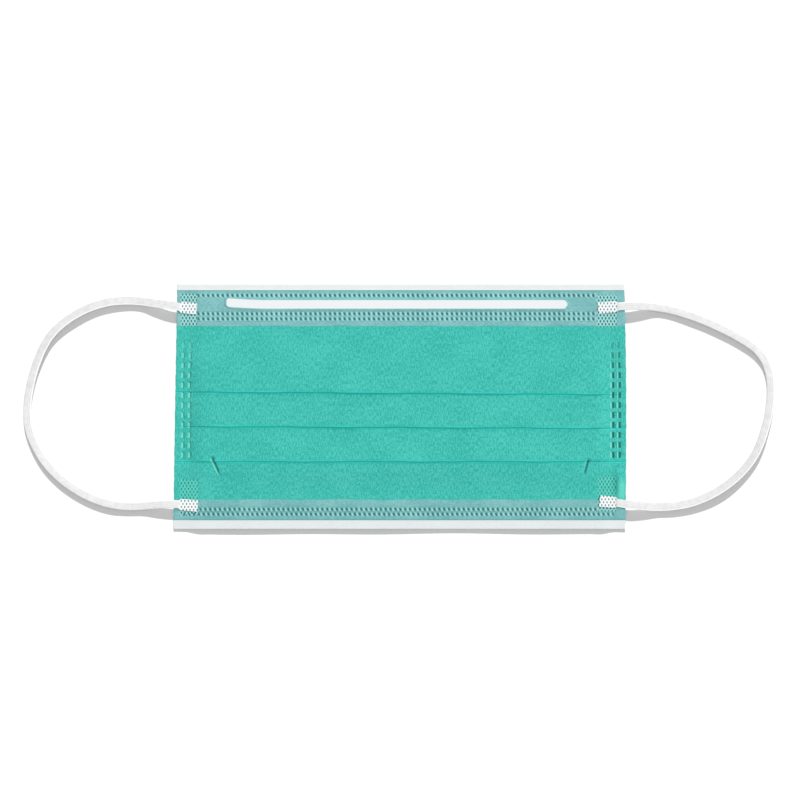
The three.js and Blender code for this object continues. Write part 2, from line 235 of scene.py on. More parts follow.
@dataclass(frozen=True)
class Crease:
    """A short pinched line in the panel where a pleat is tacked down."""

    head: tuple[float, float]
    foot: tuple[float, float]
    breadth: float = 1.0
    press: float = 0.2
    notch: float = 0.75

    def course(self, x: Array, y: Array) -> tuple[Array, Array, Array]:
        """Gives how far each point is along the crease and beside it, and how much of it is there."""
        run = (self.foot[0] - self.head[0], self.foot[1] - self.head[1])
        length = math.hypot(*run)
        along = ((x - self.head[0]) * run[0] + (y - self.head[1]) * run[1]) / length
        aside = ((x - self.head[0]) * run[1] - (y - self.head[1]) * run[0]) / length
        return along, aside, smooth(along / 0.5 + 0.6) * smooth((length - along) / 2.5)

    def depth(self, x: Array, y: Array, filled: bool) -> Array:
        """Says how hard each point is pressed, as DotRow.depth does."""
        along, aside, reach = self.course(x, y)
        line = smooth((1.4 - np.abs(aside) / (self.breadth / 2)) / 0.9)
        knob = smooth((1.9 if filled else 1.5) - np.hypot(along - 0.3, aside) / self.notch)
        return self.press * np.maximum(line * reach, knob * 1.6)


@dataclass(frozen=True)
class Pleat:
    """One pleat: the place of its front fold, how the fold slants, and how deep it runs back."""

    fold: float
    slant: float
    depth: float = 10.0


PLEATS = (Pleat(5.2, 0.55), Pleat(-8.0, 0.4), Pleat(-21.2, 0.0))
HEM_ROWS = (
    DotRow(43.1, -78.1, 75.6),
    DotRow(36.0, -78.1, 75.6),
    DotRow(34.0, -78.1, 75.6),
    DotRow(-39.8, -77.3, 76.4),
    DotRow(-41.7, -83.6, 82.3),
)
SIDE_COLUMNS = (DashColumn(-84.1), DashColumn(-81.4), DashColumn(82.6), DashColumn(85.1))
PATCHES = (
    KnurlPatch(-84.9, -78.7, 30.9, 43.7),
    KnurlPatch(76.4, 84.3, 30.8, 43.2),
    KnurlPatch(-85.4, -78.1, -42.3, -28.0),
    KnurlPatch(76.9, 83.9, -40.5, -26.9),
)
CREASES = (Crease((-72.6, -19.8), (-69.5, -26.8)), Crease((73.0, -20.6), (71.3, -27.0)))
WELD_VALUES = (
    "dot_turns", "dot_up", "dot_on",
    "dash_side", "dash_turns", "dash_on",
    "knurl_first", "knurl_second", "knurl_on",
    "crease_side", "crease_on",
)


@dataclass(frozen=True)
class RestingShape:
    """How the whole mask lies: its outline, its pressed sides and its welds. Millimetres."""

    half_width: float
    nose_edge: float
    chin_edge: float
    top_hem_end: float = 31.2
    bottom_hem_end: float = -36.0
    press_from: float = 76.0
    press_to: float = 83.5
    side_press: float = 0.66
    pressed_level: float = 0.1
    straight_to: float = 70.0
    half_height: float = 47.5
    narrowing: float = 0.75
    chin_narrowing: float = 0.45
    right_shift: float = 0.3
    left_shift: float = -0.45
    left_slant: float = 0.0165
    wave: float = 0.12
    bulge: tuple[float, float] = (85.0, -29.4)
    bulge_size: tuple[float, float] = (1.7, 4.2)
    bulge_rise: float = 1.7

    def aside(self, x: Array, y: Array) -> Array:
        """Moves points near the sides a little in or out, as the real edges run.

        Args:
            x: Places across a straight-sided mask.
            y: Places up the mask.

        Returns:
            The places across the real one.
        """
        left = self.left_shift - self.left_slant * y
        narrowing = self.narrowing * np.where(y > 0, 1.0, self.chin_narrowing)
        right = self.right_shift - narrowing * (y / self.half_height) ** 2
        ripple = 0.06 * np.sin(y * 0.9 + x * 0.02) + 0.04 * np.sin(y * 2.3)
        near = smooth((np.abs(x) - self.straight_to) / (self.half_width - self.straight_to))
        return x + np.sign(x) * near * (np.where(x < 0, left, right) + ripple)

    def lift(self, x: Array, y: Array) -> Array:
        """Gives the slow waves that all layers share, never below the surface."""
        slow = np.sin(x * 0.047 + 0.6) * np.cos(y * 0.06 - 0.4) + np.sin(x * 0.11 - y * 0.05)
        aside = (x - self.bulge[0]) / self.bulge_size[0]
        above = (y - self.bulge[1]) / self.bulge_size[1]
        return self.wave * (1 + 0.5 * slow) + self.bulge_rise * np.exp(-(aside**2) - above**2)

    def pressing(self, x: Array, y: Array, filled: Array) -> Array:
        """Gives the share of its height that each point keeps.

        Args:
            x: Places across the mask.
            y: Places up the mask.
            filled: True where the layer is hidden under another one.

        Returns:
            The share kept, from 0 to 1. All layers use it, so that they never cross.
        """
        sides = self.side_press * smooth((np.abs(x) - self.press_from) / (self.press_to - self.press_from))
        return (1 - sides) * (1 - self.depth(x, y, filled))

    def marks(self, x: Array, y: Array) -> dict[str, Array]:
        """Gives what a finish needs to draw the welds sharply.

        Args:
            x: Places across the mask.
            y: Places up the mask.

        Returns:
            Values that run evenly from point to point, by the names that the finishes read. Each
            kind of weld has a value that is 0 well before the values switch to its next neighbour.
        """
        found = {name: np.zeros(x.shape) for name in WELD_VALUES}

        def switch(near: Array, **values: Array) -> None:
            """Takes over a mark's values near it."""
            for name, value in values.items():
                found[name] = np.where(near, value, found[name])

        for row in HEM_ROWS:
            away = np.abs(y - row.y)
            switch(away < 0.99, dot_turns=row.turns(x, y), dot_up=(y - row.y) / (row.height / 2))
            found["dot_on"] += row.ends(x) * smooth((0.9 - away) / 0.12)
        for column in SIDE_COLUMNS:
            away = np.abs(x - column.x)
            switch(away < 1.3, dash_side=column.side(x, y))
            found["dash_turns"] = column.turns(y)
            found["dash_on"] += column.strength(y) * smooth((1.2 - away) / 0.12)
        for patch in PATCHES:
            first, second = patch.turns(x, y)
            switch(np.hypot(x - patch.left, y - patch.bottom) < 30, knurl_first=first, knurl_second=second)
            found["knurl_on"] += patch.inside(x, y)
        for crease in CREASES:
            _, aside, reach = crease.course(x, y)
            switch(np.abs(aside) < 3.0, crease_side=aside / (crease.breadth / 2))
            found["crease_on"] += reach * smooth((2.0 - np.abs(aside)) / 0.5)
        return found

    def depth(self, x: Array, y: Array, filled: Array) -> Array:
        """Gives how hard the welds press each point, which is the hardest of all marks there."""
        marks = (*HEM_ROWS, *SIDE_COLUMNS, *PATCHES, *CREASES)
        hidden = np.max([mark.depth(x, y, True) for mark in marks], axis=0)
        shown = np.max([mark.depth(x, y, False) for mark in marks], axis=0)
        return np.where(filled, hidden, shown)

    def covered(self, y: Array) -> Array:
        """True where the hems lie over the ply."""
        return (y > self.top_hem_end - 0.3) | (y < self.bottom_hem_end + 0.3)


class SectionLine:
    """A line drawn down the mask in all upright sections at once, one value for each column."""

    def __init__(self, columns: int) -> None:
        """Starts an empty line for that many columns."""
        self.columns = columns
        self.points: list[tuple[Array, Array, bool]] = []

    def put(self, y: Array | float, z: Array | float, hidden: bool) -> None:
        """Adds one point to the line in every section."""
        full = np.ones(self.columns)
        self.points.append((y * full, z * full, hidden))

    def straight(self, y: Array, z: Array, steps: int, hidden: bool = False) -> None:
        """Goes straight on to a point in the given number of steps."""
        from_y, from_z, _ = self.points[-1]
        for step in range(1, steps + 1):
            share = step / steps
            self.put(from_y + (y - from_y) * share, from_z + (z - from_z) * share, hidden)

    def turn(self, y: Array, z: Array, radius: Array, tilt: Array, side: int, steps: int) -> None:
        """Turns back under itself through half a circle.

        Args:
            y: Places of the circle's middle.
            z: Heights of the circle's middle.
            radius: The circle's radius in each section.
            tilt: How far the cloth is tilted there, in radians.
            side: −1 for a fold towards the chin edge, 1 for one towards the nose edge.
            steps: Number of steps round the fold.
        """
        for step in range(1, steps + 1):
            angle = math.pi * step / steps
            out = side * radius * np.sin(angle)
            up = radius * np.cos(angle)
            self.put(
                y + out * np.cos(tilt) + up * np.sin(tilt),
                z - out * np.sin(tilt) + up * np.cos(tilt),
                side > 0 or step > steps // 2,
            )

    def ease(self, y: float, z: Array, slopes: tuple, steps: int, hidden: bool = False) -> None:
        """Swings to a point in an S with the given slopes at both ends."""
        from_y, from_z, _ = self.points[-1]
        run = y - from_y
        for step in range(1, steps + 1):
            t = step / steps
            height = (
                (2 * t**3 - 3 * t**2 + 1) * from_z
                + (t**3 - 2 * t**2 + t) * run * slopes[0]
                + (3 * t**2 - 2 * t**3) * z
                + (t**3 - t**2) * run * slopes[1]
            )
            self.put(from_y + run * t, height, hidden)

    def arrays(self, offset: float = 0.0) -> tuple[Array, Array, Array]:
        """Gives the line's points, moved out towards the green side.

        Args:
            offset: Distance of the wanted layer from the drawn line.

        Returns:
            Rows by columns of y, of z, and whether each row is hidden.
        """
        y = np.array([point[0] for point in self.points])
        z = np.array([point[1] for point in self.points])
        hidden = np.array([point[2] for point in self.points])
        if offset:
            along_y = np.gradient(y, axis=0)
            along_z = np.gradient(z, axis=0)
            length = np.hypot(along_y, along_z)
            y, z = y + offset * along_z / length, z - offset * along_y / length
        return y, z, np.repeat(hidden[:, None], self.columns, axis=1)


def lay_grid(name: str, places: Array, cut: Array, marks: dict[str, Array]) -> bpy.types.Mesh:
    """Makes a mesh from rows and columns of points.

    Args:
        name: What the mesh is called.
        places: Rows by columns of points, in millimetres.
        cut: Rows by columns of places on the flat cut, in metres.
        marks: Rows by columns of the values that the finish reads, by their names.

    Returns:
        The mesh, with smooth faces.
    """
    rows, columns = places.shape[:2]
    sheet = bmesh.new()
    bmesh.ops.create_grid(sheet, x_segments=columns - 1, y_segments=rows - 1, size=0.5)
    mesh = bpy.data.meshes.new(name)
    sheet.to_mesh(mesh)
    sheet.free()
    mesh.vertices.foreach_set("co", (places * MM).astype(np.float32).ravel())
    for value_name, values in marks.items():
        mark = mesh.attributes.new(value_name, "FLOAT", "POINT")
        mark.data.foreach_set("value", values.astype(np.float32).ravel())
    corner = np.empty(len(mesh.loops), np.int64)
    mesh.loops.foreach_get("vertex_index", corner)
    uv = mesh.uv_layers.new(name="cut")
    uv.data.foreach_set("uv", cut.reshape(-1, 2)[corner].astype(np.float32).ravel())
    mesh.polygons.foreach_set("use_smooth", np.ones(len(mesh.polygons), bool))
    mesh.update()
    return mesh


@dataclass
class Piece:
    """One piece of the mask, measured in millimetres."""

    name: str
    node: str
    slot: str
    shape: RestingShape
    finish: "Finish"

    def build(self) -> bpy.types.Object:
        """Makes the piece."""
        raise NotImplementedError

    def settle(self, mesh: bpy.types.Mesh) -> bpy.types.Object:
        """Puts the piece's mesh into the scene, dresses it, hangs it on the body and hides the imported part
        that it stands in for.
        """
        piece = bpy.data.objects.new(self.name, mesh)
        bpy.context.scene.collection.objects.link(piece)
        mesh.materials.append(self.finish.make(self.name))
        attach(piece, BODY)
        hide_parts(self.node)
        return piece


@dataclass
class ClothPiece(Piece):
    """A sheet of nonwoven that is cut flat and laid into its place."""

    thickness: float

    def columns(self) -> Array:
        """Gives the places across the flat sheet at which it may bend."""
        raise NotImplementedError

    def cut_depth(self) -> float:
        """Gives the flat sheet's size from top to bottom."""
        raise NotImplementedError

    def lay(self, across: Array) -> tuple[Array, Array, dict[str, Array]]:
        """Lays the sheet into its folds.

        Args:
            across: Places across the flat sheet.

        Returns:
            The points, the cut lengths and the marks, all rows by columns from the chin edge up.
        """
        raise NotImplementedError

    def build(self) -> bpy.types.Object:
        across = self.columns()
        places, length, marks = self.lay(across)
        cut = np.stack([np.broadcast_to(across, length.shape), length], axis=-1) * MM
        piece = self.settle(lay_grid(self.name, places, cut, marks))
        wall = piece.modifiers.new("wall", "SOLIDIFY")
        wall.thickness = self.thickness * MM
        wall.offset = 0.0
        width, depth = 2 * self.shape.half_width, self.cut_depth()
        LOG.info("%s is cut %.0f by %.1f mm", self.name, width, depth)
        return piece

    def place(self, across: Array, y: Array, z: Array, hidden: Array) -> Array:
        """Presses the welds in and puts the sheet in its outline.

        Args:
            across: Places across the flat sheet, one for each column.
            y: Rows by columns of places up the mask.
            z: Rows by columns of heights.
            hidden: Where the layer lies under another one.

        Returns:
            Rows by columns of points, from the chin edge up.
        """
        x = self.shape.aside(np.broadcast_to(across, y.shape), y)
        level = self.shape.pressed_level
        z = level + (z - level) * self.shape.pressing(x, y, hidden) + self.shape.lift(x, y)
        return np.stack([x, y, z], axis=-1)[::-1]


def cut_length(y: Array, z: Array) -> Array:
    """Measures how far down the cut sheet each row is, along the middle column."""
    middle = y.shape[1] // 2
    steps = np.hypot(np.diff(y[:, middle]), np.diff(z[:, middle]))
    length = np.concatenate([[0.0], np.cumsum(steps)])
    return np.repeat(length[:, None], y.shape[1], axis=1)


def spread(*stops: tuple[float, float]) -> Array:
    """Spaces places evenly between stops, each a place and the spacing on the way to the next one."""
    places = [stops[0][0]]
    for (start, step), (end, _) in zip(stops, stops[1:]):
        count = max(1, round(abs(end - start) / step))
        places.extend(start + (end - start) * np.arange(1, count + 1) / count)
    return np.array(places)


def waver(across: Array, *waves: tuple[float, float, float]) -> Array:
    """Adds up sine waves, each given by its height, its radians a millimetre and its start."""
    return sum(height * np.sin(across * rate + start) for height, rate, start in waves)


class Layer(Enum):
    """The layers of the pleated panel that show, by their distance from its middle line."""

    OUTER_PLY = 0.18
    LINING = -0.18


@dataclass
class PleatedLayer(ClothPiece):
    """One layer of the pleated panel."""

    layer: Layer
    top: float
    bottom: float
    fineness: float = 1.0
    floor_level: float = 0.31
    pitch_side: float = 0.72
    pitch_gain: float = 0.2
    pitch_flat: float = 20.0
    pitch_run: float = 58.0
    fold_nose: float = 0.32
    over_back: float = 1.0
    under_front: float = 12.6
    hem_top: float = 33.0
    settled_from: float = -34.0
    hem_bottom: float = -37.0
    crease_from: float = 68.0
    crease_to: float = 75.5
    weld_from: float = 77.0

    def columns(self) -> Array:
        """Gives close columns at the welds and the creases, and wide ones between them."""
        half = self.shape.half_width
        fine, wide = 0.36 * self.fineness, 2.5 * self.fineness
        side = ((self.crease_from, fine), (self.crease_to, 0.8), (self.weld_from, fine), (half, fine))
        left = [(-place, step) for (place, _), (_, step) in zip(side[::-1], side[::-1][1:])]
        return spread(*left, (-self.crease_from, wide), *side)

    def rows(self, steps: int) -> int:
        """Scales a number of rows to the layer's fineness."""
        return max(3, round(steps / self.fineness))

    def section(self, across: Array) -> SectionLine:
        """Draws the panel's middle line from the nose edge down.

        Args:
            across: Places across the flat sheet.

        Returns:
            The line in every section.
        """
        narrowing = smooth((np.abs(across) - self.pitch_flat) / self.pitch_run)
        pitch = self.pitch_side + self.pitch_gain * (1 - narrowing)
        radius = pitch / 2
        tilt = np.arcsin(2 * pitch / (PLEATS[0].fold - PLEATS[1].fold))
        rise = np.tan(tilt)
        level = self.floor_level
        line = SectionLine(len(across))
        line.put(self.top, level, True)
        line.straight(self.hem_top, level, self.rows(16))
        for index, pleat in enumerate(PLEATS):
            slant = -pleat.slant * np.clip(across / self.shape.half_width, -1, 1)
            ragged = waver(across, (0.1, 0.14, 1.7 * index), (0.05, 0.41, index))
            front_y = pleat.fold + slant + ragged + self.fold_nose + radius
            back_y = front_y + pleat.depth
            back_z = level + radius
            front_z = back_z + pitch + pleat.depth * rise
            out_y, out_z = radius * np.sin(tilt), radius * np.cos(tilt)
            if index == 0:
                over_y = back_y + self.over_back
                over_z = front_z + out_z - (over_y - front_y) * rise
                line.ease(over_y, over_z, (0.0, -rise), self.rows(26))
                line.straight(front_y + out_y, front_z + out_z, self.rows(17))
            else:
                under = self.under_front
                line.straight(front_y + out_y + under, front_z + out_z - under * rise, self.rows(12), True)
                line.straight(front_y + out_y, front_z + out_z, self.rows(20))
            line.turn(front_y, front_z, radius, tilt, -1, 8)
            line.straight(back_y + out_y, back_z + out_z, self.rows(12), True)
            line.turn(back_y, back_z, radius, tilt, 1, 6)
        line.straight(front_y - out_y, back_z - out_z + pleat.depth * rise, self.rows(12), True)
        line.ease(self.settled_from, level, (-rise, 0.0), self.rows(38))
        line.straight(self.hem_bottom, level, self.rows(9))
        line.straight(self.bottom, level, self.rows(10))
        return line

    def lay(self, across: Array) -> tuple[Array, Array, dict[str, Array]]:
        """Lays the sheet into its pleats, as ClothPiece.lay says."""
        y, z, hidden = self.section(across).arrays(self.layer.value)
        if self.layer is Layer.LINING:
            hidden = np.ones_like(hidden)
        places = self.place(across, y, z, hidden | self.shape.covered(y))
        return places, cut_length(y, z)[::-1], self.shape.marks(places[..., 0], places[..., 1])

    def cut_depth(self) -> float:
        """Measures the sheet along its middle section."""
        y, z, _ = self.section(np.array([0.0])).arrays(self.layer.value)
        return float(cut_length(y, z)[-1, 0])


@dataclass(frozen=True)
class WirePlace:
    """Where the nose wire lies under the top hem, in millimetres."""

    left: float = -67.2
    right: float = 65.1
    width: float = 3.5
    y: float = 39.65
    creep: float = 0.75
    creep_length: float = 15.0
    corner: float = 0.9
    point: float = 1.3

    def middle(self, x: Array) -> Array:
        """Gives the middle line, which drifts up near the left end."""
        drift = np.clip((self.left + self.creep_length - x) / self.creep_length, 0, 1)
        return self.y + self.creep * drift**1.5

    def ends(self, away: Array) -> tuple[Array, Array]:
        """Gives where the wire starts and stops at each distance from its middle line."""
        half = self.width / 2
        start = self.left + np.clip(away - half + self.corner, 0, None) ** 2 / self.corner
        return start, self.right - self.point * np.clip(away / half, 0, 1) ** 1.6

    def inside(self, x: Array, y: Array) -> Array:
        """Gives how far inside the wire's outline each point is, less than 0 outside it."""
        away = np.abs(y - self.middle(x))
        start, stop = self.ends(away)
        return np.minimum(self.width / 2 - away, np.minimum(x - start, stop - x))


@dataclass
class Hem(ClothPiece):
    """A turned-over edge of the white lining, welded down on the front."""

    edge: float
    end: float
    ply_edge: float
    wire: WirePlace | None = None
    back_level: float = 0.13
    front_level: float = 0.83
    free_level: float = 0.66
    end_level: float = 0.58
    side_rise: float = 0.22
    side_from: float = 74.0
    side_run: float = 8.0
    turn_radius: float = 0.32
    turn_steps: int = 8
    back_leg: float = 1.0
    end_run: float = 1.5
    row_gap: float = 0.28
    wire_rise: float = 0.5
    puff_rise: float = 0.13
    before_ply: float = 0.5
    past_ply: float = 0.4
    ragged_run: float = 3.0
    wire_ramp: float = 1.1
    wire_above: float = 0.43

    def columns(self) -> Array:
        """Gives six columns to each weld dot."""
        half = self.shape.half_width
        return spread((-half, DotRow.pitch / 6), (half, 0.0))

    def lay(self, across: Array) -> tuple[Array, Array, dict[str, Array]]:
        """Turns the edge over and lays the front leg down, as ClothPiece.lay says."""
        side = math.copysign(1.0, self.edge)
        line = SectionLine(len(across))
        turn_y = self.edge - side * self.turn_radius
        line.put(turn_y - side * self.back_leg, self.back_level, True)
        line.straight(turn_y, self.back_level, 3, True)
        middle = (self.back_level + self.free_level) / 2
        tall = (self.free_level - self.back_level) / 2
        for step in range(1, self.turn_steps + 1):
            angle = math.pi * step / self.turn_steps
            out = side * self.turn_radius * math.sin(angle)
            line.put(turn_y + out, middle - tall * math.cos(angle), False)
        line.straight(self.ply_edge + side * self.before_ply, self.free_level, 5)
        line.straight(self.ply_edge - side * self.past_ply, self.front_level, 3)
        rows = round(abs(self.ply_edge - self.end) / self.row_gap)
        line.straight(self.end + side * self.end_run, self.front_level, rows)
        line.straight(self.end, self.end_level, 6)
        y, z, hidden = line.arrays()
        ragged = waver(across, (0.12, 0.21, 0.0), (0.08, 0.53, 1.1))
        y = y + ragged * smooth(1 - np.abs(y - self.end) / self.ragged_run)
        x = np.broadcast_to(across, y.shape)
        z = z + self.side_rise * smooth((np.abs(x) - self.side_from) / self.side_run) * ~hidden
        marks = {}
        if self.wire:
            inside = self.wire.inside(x, y)
            ramp = smooth(inside / self.wire_ramp + 1.0)
            z = z + self.wire_rise * ramp * (z > self.wire_above)
            marks["wire"] = inside[::-1]
        z = z + self.puff_rise * np.max([row.puff(x, y) for row in HEM_ROWS], axis=0) * ~hidden
        places = self.place(across, y, z, hidden)
        marks.update(self.shape.marks(places[..., 0], places[..., 1]))
        length = cut_length(y, z)[::-1]
        if side < 0:
            places, length = places[::-1], length[::-1]
            marks = {name: values[::-1] for name, values in marks.items()}
        return places, length, marks

    def cut_depth(self) -> float:
        """Adds up the front leg, the turn and the back leg."""
        return abs(self.edge - self.end) + self.turn_radius * (math.pi - 1) + self.back_leg


@dataclass
class NoseWire(Piece):
    """The flat plastic-covered wire under the top hem."""

    place: WirePlace
    thickness: float = 0.42
    level: float = 0.9
    steps: int = 90
    rows: int = 6

    def build(self) -> bpy.types.Object:
        """Makes the wire from a narrow grid, shaped to its ends and given its thickness."""
        strip = bmesh.new()
        bmesh.ops.create_grid(strip, x_segments=self.steps, y_segments=self.rows, size=0.5)
        for vert in strip.verts:
            aside = vert.co.y * self.place.width
            start, stop = self.place.ends(abs(aside))
            x = float(start + (stop - start) * (vert.co.x + 0.5))
            y = float(self.place.middle(np.array(x))) + aside
            z = self.level + float(self.shape.lift(np.array(x), np.array(y)))
            vert.co = Vector((x, y, z)) * MM
        bmesh.ops.solidify(strip, geom=strip.faces[:], thickness=self.thickness * MM)
        bmesh.ops.recalc_face_normals(strip, faces=strip.faces[:])
        mesh = bpy.data.meshes.new(self.name)
        strip.to_mesh(mesh)
        strip.free()
        LOG.info("%s is %.0f mm long", self.name, self.place.right - self.place.left)
        return self.settle(mesh)


@dataclass
class EarLoop(Piece):
    """A flat knitted elastic, welded on at both ends and lying on the surface between them."""

    route: Pairs
    rolls: Pairs
    width: float = 3.1
    thickness: float = 0.66
    clearance: float = 0.03
    weld_level: float = 1.02
    weld_width: float = 1.42
    weld_thinning: float = 0.35
    weld_run: float = 9.5
    climb: float = 14.0
    squareness: float = 0.5
    around: int = 40

    def __post_init__(self) -> None:
        """Works out the middle line, close at the welds and wider along the loop."""
        first = self.curve(np.linspace(0, 1, 2000))
        run = np.concatenate([[0.0], np.cumsum(np.linalg.norm(np.diff(first[:, :2], axis=0), axis=1))])
        total = float(run[-1])
        ends = spread((0.0, 0.3), (self.weld_run, 1.0))
        far = spread((self.weld_run, 1.0), (total - self.weld_run, 0.0))[1:-1]
        wanted = np.concatenate([ends, far, total - ends[::-1]])
        x, y, rise = (np.interp(wanted, run, first[:, axis]) for axis in range(3))
        self.share = wanted / total
        self.roll = self.leaning()
        height = (self.width * np.abs(np.sin(self.roll)) + self.thickness * np.cos(self.roll)) / 2
        self.path = np.stack([x, y, self.weld_level * rise + height + self.clearance], axis=-1)
        self.length = float(np.sum(np.linalg.norm(np.diff(self.path, axis=0), axis=1)))

    def leaning(self) -> Array:
        """Runs smoothly through the rolls, in radians."""
        shares, degrees = np.array(self.rolls).T
        spot = np.clip(np.searchsorted(shares, self.share, side="right") - 1, 0, len(shares) - 2)
        part = smooth((self.share - shares[spot]) / (shares[spot + 1] - shares[spot]))
        return np.radians(degrees[spot] * (1 - part) + degrees[spot + 1] * part)

    def curve(self, shares: Array) -> Array:
        """Draws a smooth curve through the route's points.

        Args:
            shares: Places along the route, from 0 to 1.

        Returns:
            One row of x, y in millimetres and rise for each share.
        """
        flat = [0.0] * (len(self.route) - 2 * len(CLIMB))
        rises = (*CLIMB, *flat, *CLIMB[::-1])
        points = np.array([(*point, rise) for point, rise in zip(self.route, rises)])
        padded = np.vstack([2 * points[0] - points[1], points, 2 * points[-1] - points[-2]])
        spans = len(points) - 1
        spot = np.clip((shares * spans).astype(int), 0, spans - 1)
        t = (shares * spans - spot)[:, None]
        a, b, c, d = (padded[spot + shift] for shift in range(4))
        bend = 2 * b + (c - a) * t + (2 * a - 5 * b + 4 * c - d) * t**2 + (3 * b - a - 3 * c + d) * t**3
        return bend / 2

    def points(self) -> Array:
        """Gives the rows of points round the middle line, pressed into the welds."""
        tangent = np.gradient(self.path, axis=0)
        tangent /= np.linalg.norm(tangent, axis=1)[:, None]
        level = np.cross(tangent, (0.0, 0.0, 1.0))
        level /= np.linalg.norm(level, axis=1)[:, None]
        upright = np.cross(level, tangent)
        crushed = np.max([patch.inside(self.path[:, 0], self.path[:, 1]) for patch in PATCHES], axis=0)
        broad = self.width / 2 * (1 + (self.weld_width - 1) * crushed)
        thick = self.thickness / 2 * (1 - self.weld_thinning * crushed)
        angle = TURN * (np.arange(self.around + 1) % self.around) / self.around
        aside = np.outer(broad, np.cos(angle))[..., None]
        round_up = np.copysign(np.abs(np.sin(angle)) ** self.squareness, np.sin(angle))
        up = np.outer(thick, round_up)[..., None]
        cosine, sine = (values[:, None, None] for values in (np.cos(self.roll), np.sin(self.roll)))
        points = self.path[:, None] + level[:, None] * (aside * cosine - up * sine)
        points = points + upright[:, None] * (aside * sine + up * cosine)
        x, y = points[..., 0], points[..., 1]
        hard = np.max([patch.depth(x, y, False) for patch in PATCHES], axis=0)
        near = smooth((self.shape.half_width + self.climb - np.abs(x)) / self.climb)
        points[..., 2] = points[..., 2] * (1 - hard) + self.shape.lift(x, y) * near
        return points

    def build(self) -> bpy.types.Object:
        points = self.points()
        share = np.arange(self.around + 1) / self.around
        run = (self.share * self.length * MM)[:, None]
        cut = np.stack(np.broadcast_arrays(share, run), axis=-1)
        mesh = lay_grid(self.name, points, cut, self.shape.marks(points[..., 0], points[..., 1]))
        tube = bmesh.new()
        tube.from_mesh(mesh)
        bmesh.ops.remove_doubles(tube, verts=tube.verts[:], dist=1e-6)
        rim = [edge for edge in tube.edges if edge.is_boundary]
        bmesh.ops.holes_fill(tube, edges=rim, sides=0)
        bmesh.ops.recalc_face_normals(tube, faces=tube.faces[:])
        for face in tube.faces:
            face.smooth = True
        tube.to_mesh(mesh)
        tube.free()
        piece = self.settle(mesh)
        LOG.info("%s is %.0f mm long", self.name, self.length)
        return piece


class Flow:
    """A value on its way through a material's nodes, which takes the usual arithmetic.

    The sign | gives the larger of two values.
    """

    def __init__(self, tree: bpy.types.NodeTree, socket: bpy.types.NodeSocket) -> None:
        """Holds the tree and the socket that gives the value."""
        self.tree = tree
        self.socket = socket

    def step(self, operation: str, *others: object) -> "Flow":
        """Works out one step of arithmetic that starts with this value."""
        return run_node(self.tree, "ShaderNodeMath", (self, *others), operation=operation)

    __add__ = partialmethod(step, "ADD")
    __sub__ = partialmethod(step, "SUBTRACT")
    __mul__ = partialmethod(step, "MULTIPLY")
    __or__ = partialmethod(step, "MAXIMUM")
    __abs__ = partialmethod(step, "ABSOLUTE")

    def axis(self, index: int) -> "Flow":
        """Takes one axis of a vector."""
        return run_node(self.tree, "ShaderNodeSeparateXYZ", (self,), index)

    def band(self, start: float, stop: float, low: float = 0.0, high: float = 1.0) -> "Flow":
        """Eases from low to high as the value goes from start to stop."""
        values = (self, start, stop, low, high)
        return run_node(self.tree, "ShaderNodeMapRange", values, interpolation_type="SMOOTHSTEP")

    def off_whole(self) -> "Flow":
        """Gives how far a count is from the nearest whole number."""
        return self.step("PINGPONG", 0.5)


def feed(tree: bpy.types.NodeTree, socket: bpy.types.NodeSocket, value: object) -> None:
    """Links a value of the material to a socket, or sets a plain value there."""
    if isinstance(value, Flow):
        tree.links.new(value.socket, socket)
    else:
        socket.default_value = value


def run_node(tree: bpy.types.NodeTree, kind: str, values: tuple, output: int | str = 0,
             inputs: tuple = (), **settings: object) -> Flow:
    """Adds a node.

    Args:
        tree: The material's nodes.
        kind: The node's type.
        values: What goes into its inputs.
        output: Which of its results is wanted.
        inputs: Which inputs the values go into, where they aren't the first ones.
        settings: The node's own properties.

    Returns:
        The wanted result.
    """
    node = tree.nodes.new(kind)
    for key, setting in settings.items():
        setattr(node, key, setting)
    for spot, value in zip(inputs or range(len(values)), values):
        feed(tree, node.inputs[spot], value)
    return Flow(tree, node.outputs[output])


